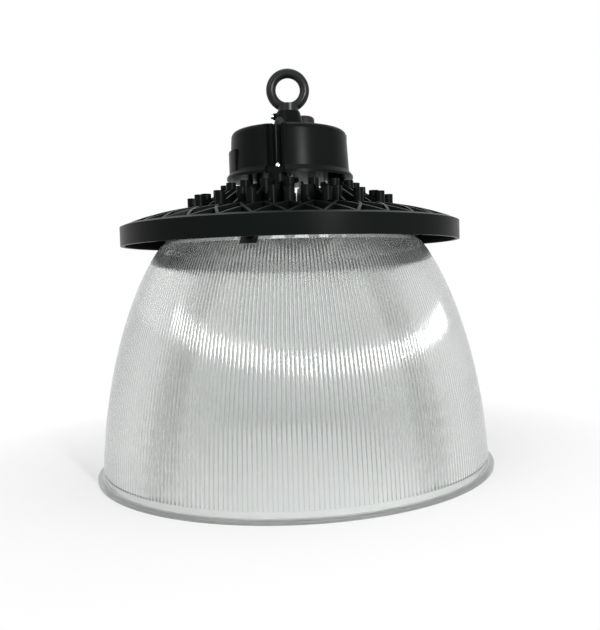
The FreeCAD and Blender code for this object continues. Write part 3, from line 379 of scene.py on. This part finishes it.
def prism_group():
    """Masks of the shade: the valleys between its prisms, where shade is painted, and its rim,
    which is frosted and painted darker.
    """
    tree, inlet, outlet = new_group(
        "prism_masks",
        {"Count": 300.0, "Rim top": 0.003, "Foot": 0.009},
        {"Valley": 0.0, "Rim": 0.0},
    )
    place = node(tree, "ShaderNodeTexCoord")
    split = node(tree, "ShaderNodeSeparateXYZ", {"Vector": place.outputs["Object"]})
    turn = math_node(tree, "ARCTAN2", split.outputs["Y"], split.outputs["X"])
    wave = math_node(tree, "COSINE", math_node(tree, "MULTIPLY", turn, inlet.outputs["Count"]))
    # Painted shade mask: one in the valleys between prisms, above the plain band.
    valley = node(tree, "ShaderNodeMapRange", {"Value": wave}, From_Min=-0.2, From_Max=-0.9)
    above = math_node(tree, "GREATER_THAN", split.outputs["Z"], inlet.outputs["Foot"])
    valley = math_node(tree, "MULTIPLY", valley.outputs[0], above)
    # Mask of the rim, which is both frosted and painted darker.
    rim = math_node(tree, "LESS_THAN", split.outputs["Z"], inlet.outputs["Rim top"])
    tree.links.new(valley, outlet.inputs["Valley"])
    tree.links.new(rim, outlet.inputs["Rim"])
    return tree


def tint_prisms(material, shade, colours):
    """Paints shade into the valleys between prisms, frosts the rim and paints it darker."""
    rim_margin, frost = 0.2 * MM, 0.45
    tree = material.node_tree
    surface = tree.nodes["Principled BSDF"]
    masks = node(
        tree,
        "ShaderNodeGroup",
        node_tree=prism_group(),
        Count=shade.prisms,
        Rim_top=shade.rim_top + rim_margin,
        Foot=shade.band_top,
    )
    # Painted shade in the valleys: darker colour between the prisms.
    tint = mix_colours(tree, masks.outputs["Valley"], colours.shade, colours.valley)
    # Painted shade on the rim: darker colour, while the frost below is roughness.
    tint = mix_colours(tree, masks.outputs["Rim"], tint, colours.rim)
    tree.links.new(tint, surface.inputs["Base Color"])
    smooth = surface.inputs["Roughness"].links[0].from_socket
    frosted = math_node(tree, "MULTIPLY", masks.outputs["Rim"], frost)
    tree.links.new(math_node(tree, "ADD", smooth, frosted), surface.inputs["Roughness"])


def finish(
    name, groups, colour, roughness,
    spread=0.12, tone=0.25, scale=900.0, relief=0.02, dust=0.0, **shader,
):
    """A material: grain and dust feed one Principled BSDF, whose constants are in shader."""
    material = bpy.data.materials.new(name)
    material.use_nodes = True
    tree = material.node_tree
    surface = tree.nodes["Principled BSDF"]
    grain = node(
        tree,
        "ShaderNodeGroup",
        node_tree=groups["grain"],
        Scale=scale,
        Roughness=roughness,
        Spread=spread,
        Colour=(*colour, 1),
        Tone=tone,
    )
    toned = grain.outputs["Colour"]
    if dust:
        settled = node(tree, "ShaderNodeGroup", node_tree=groups["dust"], Amount=dust)
        toned = mix_colours(tree, settled.outputs["Mask"], toned, DUST_COLOUR)
    bump = node(
        tree,
        "ShaderNodeBump",
        {"Height": grain.outputs["Height"]},
        Strength=relief,
        Distance=1 * MM,
    )
    tree.links.new(toned, surface.inputs["Base Color"])
    tree.links.new(grain.outputs["Roughness"], surface.inputs["Roughness"])
    tree.links.new(bump.outputs["Normal"], surface.inputs["Normal"])
    for key, value in shader.items():
        surface.inputs[key.replace("_", " ")].default_value = value
    return material


def let_light_through(material, tint):
    """Shadow rays pass a clear moulding, dimmed by tint, unless they start inside its wall."""
    tree = material.node_tree
    path = node(tree, "ShaderNodeLightPath")
    clear = node(tree, "ShaderNodeBsdfTransparent", Color=(*tint, 1))
    off_one = math_node(tree, "SUBTRACT", path.outputs["Transmission Depth"], 1.0)
    outside = math_node(tree, "GREATER_THAN", math_node(tree, "ABSOLUTE", off_one), 0.5)
    passes = math_node(tree, "MULTIPLY", outside, path.outputs["Is Shadow Ray"])
    mix_surface(tree, passes, tree.nodes["Principled BSDF"], clear)


def make_finishes(colours, shade):
    """Every finish of the light, by the record's slot name."""
    groups = {"grain": grain_group(), "dust": dust_group()}
    made = {
        "black_casting": finish(
            "black_powder_coat", groups, colours.casting, 0.32,
            relief=0.06, scale=1500.0, dust=0.003, Specular_IOR_Level=0.04,
        ),
        "black_steel": finish(
            "semi_gloss_paint", groups, colours.steel, 0.33,
            relief=0.02, scale=700.0, Specular_IOR_Level=0.18,
        ),
        "bright_steel": finish(
            "zinc_plate", groups, colours.zinc, 0.26,
            spread=0.2, scale=2200.0, relief=0.04, Metallic=1.0,
        ),
        "black_plastic": finish(
            "black_nylon", groups, colours.plastic, 0.5,
            relief=0.08, scale=1800.0, Specular_IOR_Level=0.15,
        ),
        "black_rubber": finish(
            "black_rubber", groups, (0.012, 0.012, 0.012), 0.75,
            relief=0.06, Specular_IOR_Level=0.25,
        ),
        "grey_rubber": finish("grey_silicone", groups, (0.32, 0.32, 0.32), 0.6, relief=0.05),
        "driver_case": finish("potting_case", groups, (0.02, 0.02, 0.022), 0.5, relief=0.05),
        "white_plastic": finish("white_nylon", groups, (0.78, 0.78, 0.75), 0.45, tone=0.05),
        "white_lead": finish("white_sheath", groups, (0.74, 0.74, 0.72), 0.5, tone=0.05),
        "thermal_pad": finish("thermal_silicone", groups, (0.34, 0.36, 0.4), 0.7),
        "white_board": finish(
            "white_solder_mask", groups, (0.8, 0.81, 0.8), 0.35, tone=0.04, Coat_Weight=0.3
        ),
        "phosphor": finish("yellow_phosphor", groups, (0.85, 0.62, 0.12), 0.55, tone=0.15),
        "clear_lens": finish(
            "clear_lens", groups, (0.95, 0.96, 0.965), 0.04,
            spread=0.03, tone=0.0, scale=300.0, relief=0.01,
            IOR=1.585, Transmission_Weight=1.0,
        ),
        "clear_shade": finish(
            "clear_prism", groups, colours.shade, 0.1,
            spread=0.02, tone=0.0, scale=120.0, relief=0.003,
            IOR=1.585, Transmission_Weight=0.95, Coat_Weight=1.0, Coat_Roughness=0.1,
        ),
    }
    let_light_through(made["clear_lens"], (0.85, 0.86, 0.86))
    let_light_through(made["clear_shade"], (0.8, 0.81, 0.81))
    tint_prisms(made["clear_shade"], shade, colours)
    return made


def slot_material(slot):
    """The finish that the finishes operator gave to a slot."""
    named = bpy.context.scene.get("finishes", {})
    if slot not in named:
        raise RuntimeError(f"slot {slot} has no finish yet: run the finishes operator first")
    return bpy.data.materials[named[slot]]


# ---------------------------------------------------------------- meshes


def put_in_scene(bm, name, slot, replaced=(), smooth=True):
    """Turns a bmesh into a named piece that rides on the light and takes its slot's finish."""
    bmesh.ops.recalc_face_normals(bm, faces=bm.faces)
    mesh = bpy.data.meshes.new(name)
    bm.to_mesh(mesh)
    bm.free()
    piece = bpy.data.objects.new(name, mesh)
    bpy.context.scene.collection.objects.link(piece)
    for face in mesh.polygons:
        face.use_smooth = smooth
    mesh.materials.append(slot_material(slot))
    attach(piece, "root")
    if replaced:
        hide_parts(*replaced)
    return piece


def ring(bm, corners, height, place=(0.0, 0.0)):
    """Vertices about an upright line, one for each radius and angle."""
    return [
        bm.verts.new((place[0] + r * math.cos(a), place[1] + r * math.sin(a), height))
        for r, a in corners
    ]


def even_ring(bm, radii, height, place=(0.0, 0.0)):
    """A ring of evenly spaced vertices, one for each radius."""
    turn = math.tau / len(radii)
    return ring(bm, [(radius, i * turn) for i, radius in enumerate(radii)], height, place)


def turned_rings(bm, profile, count, place=(0.0, 0.0)):
    """Round rings of a turned form, one for each radius and height of its profile."""
    return [even_ring(bm, [radius] * count, height, place) for radius, height in profile]


def join_rings(bm, lower, upper):
    """Faces between two rings, whose counts are the same or one a multiple of the other."""
    fine, coarse = (lower, upper) if len(lower) >= len(upper) else (upper, lower)
    step = len(fine) // len(coarse)
    for i in range(len(coarse)):
        edge = [fine[(i * step + k) % len(fine)] for k in range(step + 1)]
        bm.faces.new([coarse[i], *edge, coarse[(i + 1) % len(coarse)]])


def join_all(bm, rings):
    """Joins rings one after another."""
    for lower, upper in zip(rings, rings[1:]):
        join_rings(bm, lower, upper)


def close_ring(bm, edge, tip=None):
    """Closes the end of a tube with one face, or with a fan to a tip."""
    if tip is None:
        bm.faces.new(edge)
        return
    point = bm.verts.new(tip)
    for i, vertex in enumerate(edge):
        bm.faces.new((vertex, edge[(i + 1) % len(edge)], point))


def sharpen(bm, degrees):
    """Marks as sharp the edges where the surface turns by more than an angle."""
    limit = math.radians(degrees)
    bm.normal_update()
    for edge in bm.edges:
        if edge.calc_face_angle(0) > limit:
            edge.smooth = False


def polygon_radii(count, sides, inner):
    """Radii of a polygon's outline by its inner radius, at evenly spaced angles."""
    part = math.tau / sides
    angles = [(i * math.tau / count + part / 2) % part - part / 2 for i in range(count)]
    return [inner / math.cos(angle) for angle in angles]


def prism_section(shade):
    """Points across one rounded prism, as shares of its width and of its depth below the crest."""
    points, flank = shade.prism_points, shade.prism_flank
    section = []
    for i in range(points):
        lean = flank * min(i, points - i) / (points / 2)
        across = 0.5 * math.sin(lean) / math.sin(flank)
        share = across if i <= points / 2 else 1 - across
        section.append((share, (1 - math.cos(lean)) / (1 - math.cos(flank))))
    return section


def bell_radius(shade, height):
    """Outside radius of the bell at a height."""
    fall = 1 - (max(height, 0.0) / shade.crown_height) ** BELL_RISE
    return shade.crown_radius + (shade.foot_radius - shade.crown_radius) * fall ** (1 / BELL_REACH)


def rim_rings(bm, shade, foot, radius):
    """Rings of the shade's bevelled rim, and of the plain band up to the prisms."""
    bevel, fillet = 0.4 * MM, 0.6 * MM
    top = shade.rim_top
    profile = [
        (radius - bevel, foot),
        (radius, foot + bevel),
        (radius, top - bevel),
        (radius - bevel, top),
        (bell_radius(shade, top) + fillet, top),
        (bell_radius(shade, top + fillet), top + fillet),
        (bell_radius(shade, shade.band_top) - shade.prism_depth * 0.5, shade.band_top),
    ]
    return turned_rings(bm, profile, shade.prisms)


def prism_rings(bm, shade):
    """Rings over the prisms, closer together towards the crown, where the bell curves more."""
    run_out = 0.5 * MM
    section = prism_section(shade)
    turn = math.tau / shade.prisms
    rings = []
    for level in range(shade.levels + 1):
        share = math.sin(level / shade.levels * math.pi / 2)
        height = shade.band_top + run_out
        height += (shade.prism_top - shade.band_top - 2 * run_out) * share
        crest = bell_radius(shade, height)
        depth = shade.prism_depth * crest / shade.foot_radius
        corners = [
            (crest - depth * down, (i + across) * turn)
            for i in range(shade.prisms)
            for across, down in section
        ]
        rings.append(ring(bm, corners, height))
    return rings


def crown_rings(bm, shade, top):
    """Rings of the shade's flat top, from the end of the prisms to the lip of its opening."""
    profile = [
        (bell_radius(shade, shade.prism_top) - shade.prism_depth * 0.5, shade.prism_top),
        (shade.shoulder_radius, top),
        (shade.lip_radius, top),
        (shade.lip_radius, top - shade.wall),
    ]
    return turned_rings(bm, profile, shade.prisms)


def inside_rings(bm, shade, foot, top):
    """Rings of the smooth inside of the bell, from its crown down to its foot."""
    under = top - shade.wall
    levels = range(shade.levels)
    heights = [under * math.cos(level / shade.levels * math.pi / 2) for level in levels]
    profile = [(bell_radius(shade, height) - shade.wall, height) for height in [*heights, foot]]
    return turned_rings(bm, profile, shade.prisms)


def light_places(lens):
    """Centres of the light sources, in rings of six, twelve, eighteen and so on."""
    for row in range(1, lens.light_rings + 1):
        radius = lens.light_reach * row / lens.light_rings
        for i in range(6 * row):
            angle = i * math.tau / (6 * row) - math.pi / 2
            yield radius * math.cos(angle), radius * math.sin(angle)


def dome_on_plate(bm, lens, place, foot):
    """A lens dome that hangs from the plate's face. Gives the edges of its open foot."""
    around, levels = 16, 4
    profile = []
    for level in range(levels):
        slope = level / levels * math.pi / 2
        drop = lens.dome_height * math.sin(slope)
        profile.append((lens.dome_radius * math.cos(slope), foot - drop))
    dome = turned_rings(bm, profile, around, place)
    join_all(bm, dome)
    close_ring(bm, dome[-1], (*place, foot - lens.dome_height))
    return [bm.edges.get((dome[0][i], dome[0][(i + 1) % around])) for i in range(around)]


def light_source(bm, place, tip, seat):
    """A square bevelled case under the board, with a low dome down to its tip."""
    around = 16
    half, case, bevel = 1.5 * MM, 0.45 * MM, 0.12 * MM
    dome_foot, dome_shoulder, shoulder_share = 1.25 * MM, 0.95 * MM, 0.7
    face = seat - case
    square = polygon_radii(around, 4, half)
    inset = polygon_radii(around, 4, half - bevel)
    profile = [(dome_foot, face), (dome_shoulder, face - (face - tip) * shoulder_share)]
    rings = [
        even_ring(bm, square, seat, place),
        even_ring(bm, square, face + bevel, place),
        even_ring(bm, inset, face, place),
        *turned_rings(bm, profile, around, place),
    ]
    join_all(bm, rings)
    close_ring(bm, rings[0])
    close_ring(bm, rings[-1], (*place, tip))


def socket_screw(bm, screws, row, length):
    """A hexagon socket screw, its seat at the origin and its shank up. Gives its vertices."""
    before = set(bm.verts)
    around = 24
    bevel, bevel_width, drill_point = 0.1 * MM, 0.12 * MM, 0.3 * MM
    head, height, shank = row.head_radius, row.head_height, row.shank_radius
    socket = polygon_radii(around, 6, head * screws.socket_share)
    floor = -height * (1 - screws.socket_depth)
    profile = [
        *((head * out, -height * down) for out, down in HEAD_PROFILE),
        (shank, 0.0),
        (shank, length - shank * 0.3),
        (shank * 0.7, length),
    ]
    rings = [
        even_ring(bm, socket, floor),
        even_ring(bm, socket, -height + bevel),
        even_ring(bm, [radius + bevel_width for radius in socket], -height),
        *turned_rings(bm, profile, around),
    ]
    join_all(bm, rings)
    close_ring(bm, rings[0], (0.0, 0.0, floor + drill_point))
    close_ring(bm, rings[-1])
    return [vertex for vertex in bm.verts if vertex not in before]


# ---------------------------------------------------------------- stage


def seen_ray(tree):
    """One for camera, glossy and transmission rays, and nought for all others."""
    path = node(tree, "ShaderNodeLightPath")
    seen = math_node(tree, "MAXIMUM", path.outputs["Is Camera Ray"], path.outputs["Is Glossy Ray"])
    return math_node(tree, "MAXIMUM", seen, path.outputs["Is Transmission Ray"])


def make_floor():
    """A wide pale floor under the rim. It is lifted to white to the eye and keeps the real shadow;
    the lift fades near the light, which paints the floor darker round and under it.
    """
    half_width, drop = 4.0, 0.2 * MM
    pale = (0.78, 0.78, 0.78, 1)
    bm = bmesh.new()
    bmesh.ops.create_grid(bm, x_segments=1, y_segments=1, size=half_width)
    mesh = bpy.data.meshes.new("floor")
    bm.to_mesh(mesh)
    bm.free()
    floor = bpy.data.objects.new("floor", mesh)
    bpy.context.scene.collection.objects.link(floor)
    floor.location.z = -drop
    material = bpy.data.materials.new("pale_floor")
    material.use_nodes = True
    tree = material.node_tree
    surface = tree.nodes["Principled BSDF"]
    surface.inputs["Base Color"].default_value = pale
    surface.inputs["Roughness"].default_value = 0.9
    surface.inputs["Specular IOR Level"].default_value = 0.0
    white = node(tree, "ShaderNodeEmission")
    place = node(tree, "ShaderNodeTexCoord")
    distance = node(
        tree, "ShaderNodeVectorMath", {0: place.outputs["Object"]}, operation="LENGTH"
    )
    # Painted shadow: the lift to white fades near the light, darkening the floor there on top of
    # its real shadow.
    shadow_fade = node(
        tree,
        "ShaderNodeMapRange",
        {"Value": distance.outputs["Value"]},
        From_Min=0.2,
        From_Max=0.42,
        To_Min=0.4,
        To_Max=1.0,
    )
    lift = math_node(tree, "MULTIPLY", shadow_fade.outputs[0], seen_ray(tree))
    mix_surface(tree, lift, surface, white)
    mesh.materials.append(material)


def make_surround(scene, strength):
    """The world: white to the eye, and an even soft light on everything else."""
    world = bpy.data.worlds.new("surround")
    scene.world = world
    world.use_nodes = True
    tree = world.node_tree
    light = tree.nodes["Background"]
    light.inputs["Color"].default_value = (1, 1, 1, 1)
    tree.links.new(math_node(tree, "MAXIMUM", seen_ray(tree), strength), light.inputs["Strength"])


def place_lamp(name, lamp, power):
    """A square area lamp that faces the middle of the light, and isn't seen through glass."""
    data = bpy.data.lights.new(name, "AREA")
    data.energy = power
    data.size = lamp.width
    placed = bpy.data.objects.new(name, data)
    bpy.context.scene.collection.objects.link(placed)
    placed.visible_transmission = False
    placed.location = lamp.place
    aim = Vector(LAMP_AIM) - Vector(lamp.place)
    placed.rotation_euler = aim.to_track_quat("-Z", "Y").to_euler()


def aim_camera(scene, stage):
    """Places the camera by yaw, pitch and roll."""
    data = bpy.data.cameras.new("camera")
    camera = bpy.data.objects.new("camera", data)
    scene.collection.objects.link(camera)
    turn = (
        Matrix.Rotation(-stage.camera_yaw, 4, "Z")
        @ Matrix.Rotation(math.pi / 2 - stage.camera_pitch, 4, "X")
        @ Matrix.Rotation(-stage.camera_roll, 4, "Z")
    )
    camera.matrix_world = Matrix.Translation(stage.camera_place) @ turn
    data.lens = stage.lens
    data.shift_x = stage.shift
    data.clip_start, data.clip_end = 0.01, 50.0
    scene.camera = camera


# ---------------------------------------------------------------- operators


class HIGHBAY_OT_finishes(bpy.types.Operator):
    """Makes the finishes and gives them to the CAD nodes."""

    bl_idname = "highbay.finishes"
    bl_label = "Finishes"

    def execute(self, context):
        scene = context.scene
        made = make_finishes(scene.highbay_finish, scene.highbay_shade)
        scene["finishes"] = {slot: material.name for slot, material in made.items()}
        for carried in NODES.values():
            for place in carried.material_slots:
                wanted = place.material.name.split(".")[0]
                if wanted not in made:
                    raise RuntimeError(f"{carried.name} has an unknown slot {wanted}")
                place.material = made[wanted]
        return {"FINISHED"}


class HIGHBAY_OT_shade(bpy.types.Operator):
    """Builds the clear bell with its upright prisms."""

    bl_idname = "highbay.shade"
    bl_label = "Prismatic shade"

    def execute(self, context):
        shade = context.scene.highbay_shade
        low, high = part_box("shade")
        bm = bmesh.new()
        rings = [
            *rim_rings(bm, shade, low.z, high.x),
            *prism_rings(bm, shade),
            *crown_rings(bm, shade, high.z),
            *inside_rings(bm, shade, low.z, high.z),
        ]
        join_all(bm, [*rings, rings[0]])
        sharpen(bm, 34)
        put_in_scene(bm, "prismatic_shade", "clear_shade", ["shade"])
        return {"FINISHED"}


class HIGHBAY_OT_lens(bpy.types.Operator):
    """Builds the clear plate with a dome over every light source."""

    bl_idname = "highbay.lens"
    bl_label = "Lens plate"

    def execute(self, context):
        lens = context.scene.highbay_lens
        low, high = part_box("lens_plate")
        around, bevel = 96, 0.4 * MM
        profile = [
            (high.x - bevel, low.z),
            (high.x, low.z + bevel),
            (high.x, high.z - bevel),
            (high.x - bevel, high.z),
        ]
        bm = bmesh.new()
        side = turned_rings(bm, profile, around)
        join_all(bm, side)
        close_ring(bm, side[-1])
        face_edges = [edge for edge in bm.edges if all(v in side[0] for v in edge.verts)]
        for place in light_places(lens):
            face_edges += dome_on_plate(bm, lens, place, low.z)
        bmesh.ops.triangle_fill(bm, use_beauty=True, edges=face_edges)
        sharpen(bm, 40)
        put_in_scene(bm, "domed_lens", "clear_lens", ["lens_plate"])
        return {"FINISHED"}


class HIGHBAY_OT_light_sources(bpy.types.Operator):
    """Builds the light sources, each a square case with a low dome."""

    bl_idname = "highbay.light_sources"
    bl_label = "Light sources"

    def execute(self, context):
        low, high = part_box("led_chips")
        bm = bmesh.new()
        for place in light_places(context.scene.highbay_lens):
            light_source(bm, place, low.z, high.z)
        sharpen(bm, 40)
        put_in_scene(bm, "light_sources", "phosphor", ["led_chips"])
        return {"FINISHED"}


class HIGHBAY_OT_inner_webs(bpy.types.Operator):
    """Builds the cast webs that run from the inner pins of the heat sink towards its middle."""

    bl_idname = "highbay.inner_webs"
    bl_label = "Inner webs"

    def execute(self, context):
        webs = context.scene.highbay_webs
        slant_width, slant_height, bevel = 6 * MM, 8 * MM, 0.3 * MM
        half = webs.thickness / 2
        outline = [
            (webs.inner, webs.foot),
            (webs.outer, webs.foot),
            (webs.outer, webs.top),
            (webs.inner + slant_width, webs.top),
            (webs.inner, webs.top - slant_height),
        ]
        bm = bmesh.new()
        for i in range(webs.count):
            turn = Matrix.Rotation(i * math.tau / webs.count, 3, "Z")
            sides = [
                [bm.verts.new(turn @ Vector((r, side, z))) for r, z in outline]
                for side in (-half, half)
            ]
            for face in sides:
                bm.faces.new(face)
            join_rings(bm, *sides)
        bmesh.ops.bevel(bm, geom=list(bm.edges), offset=bevel, segments=1, affect="EDGES")
        put_in_scene(bm, "inner_webs", "black_casting", smooth=False)
        return {"FINISHED"}


class HIGHBAY_OT_screws(bpy.types.Operator):
    """Builds the screws that show, with rounded heads and hexagon sockets."""

    bl_idname = "highbay.screws"
    bl_label = "Screws"

    def execute(self, context):
        screws = context.scene.highbay_screws
        for replaced, row in SCREW_ROWS.items():
            low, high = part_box(replaced)
            if row.head_down:
                seat = low.z + row.head_height
                length, flip = high.z - seat, Matrix.Identity(4)
            else:
                seat = high.z - row.head_height
                length, flip = seat - low.z, Matrix.Rotation(math.pi, 4, "X")
            bm = bmesh.new()
            for i in range(row.count):
                made = socket_screw(bm, screws, row, length)
                angle = math.radians(row.first_angle) + i * math.tau / row.count
                centre = (row.circle * math.cos(angle), row.circle * math.sin(angle), seat)
                place = Matrix.Translation(centre) @ Matrix.Rotation(angle, 4, "Z") @ flip
                bmesh.ops.transform(bm, matrix=place, verts=made)
            sharpen(bm, 40)
            put_in_scene(bm, f"socket_{replaced}", "bright_steel", [replaced])
        return {"FINISHED"}


class HIGHBAY_OT_stage(bpy.types.Operator):
    """Sets up the floor, the surround, the lamps and the camera."""

    bl_idname = "highbay.stage"
    bl_label = "Stage"

    def execute(self, context):
        scene = context.scene
        stage = scene.highbay_stage
        scene.view_settings.view_transform = "Standard"
        make_floor()
        make_surround(scene, stage.sky)
        for name, lamp in LAMPS.items():
            place_lamp(name, lamp, getattr(stage, lamp.power))
        aim_camera(scene, stage)
        return {"FINISHED"}


class HIGHBAY_PT_panel(bpy.types.Panel):
    """Lists the steps that build the scene."""

    bl_label = "High bay light"
    bl_idname = "HIGHBAY_PT_panel"
    bl_space_type = "VIEW_3D"
    bl_region_type = "UI"
    bl_category = "High Bay"

    def draw(self, context):
        for step in STEPS:
            self.layout.operator(step.bl_idname)


SETTINGS = {
    "highbay_shade": ShadeSettings,
    "highbay_lens": LensSettings,
    "highbay_webs": WebSettings,
    "highbay_screws": ScrewSettings,
    "highbay_finish": FinishSettings,
    "highbay_stage": StageSettings,
}
STEPS = (
    HIGHBAY_OT_finishes,
    HIGHBAY_OT_shade,
    HIGHBAY_OT_lens,
    HIGHBAY_OT_light_sources,
    HIGHBAY_OT_inner_webs,
    HIGHBAY_OT_screws,
    HIGHBAY_OT_stage,
)
CLASSES = (*SETTINGS.values(), *STEPS, HIGHBAY_PT_panel)


def register():
    for item in CLASSES:
        bpy.utils.register_class(item)
    for name, group in SETTINGS.items():
        setattr(bpy.types.Scene, name, PointerProperty(type=group))


def unregister():
    for name in SETTINGS:
        delattr(bpy.types.Scene, name)
    for item in reversed(CLASSES):
        bpy.utils.unregister_class(item)


def main():
    register()
    bpy.ops.highbay.finishes()
    bpy.ops.highbay.shade()
    bpy.ops.highbay.lens()
    bpy.ops.highbay.light_sources()
    bpy.ops.highbay.inner_webs()
    bpy.ops.highbay.screws()
    bpy.ops.highbay.stage()


if __name__ == "__main__":
    main()
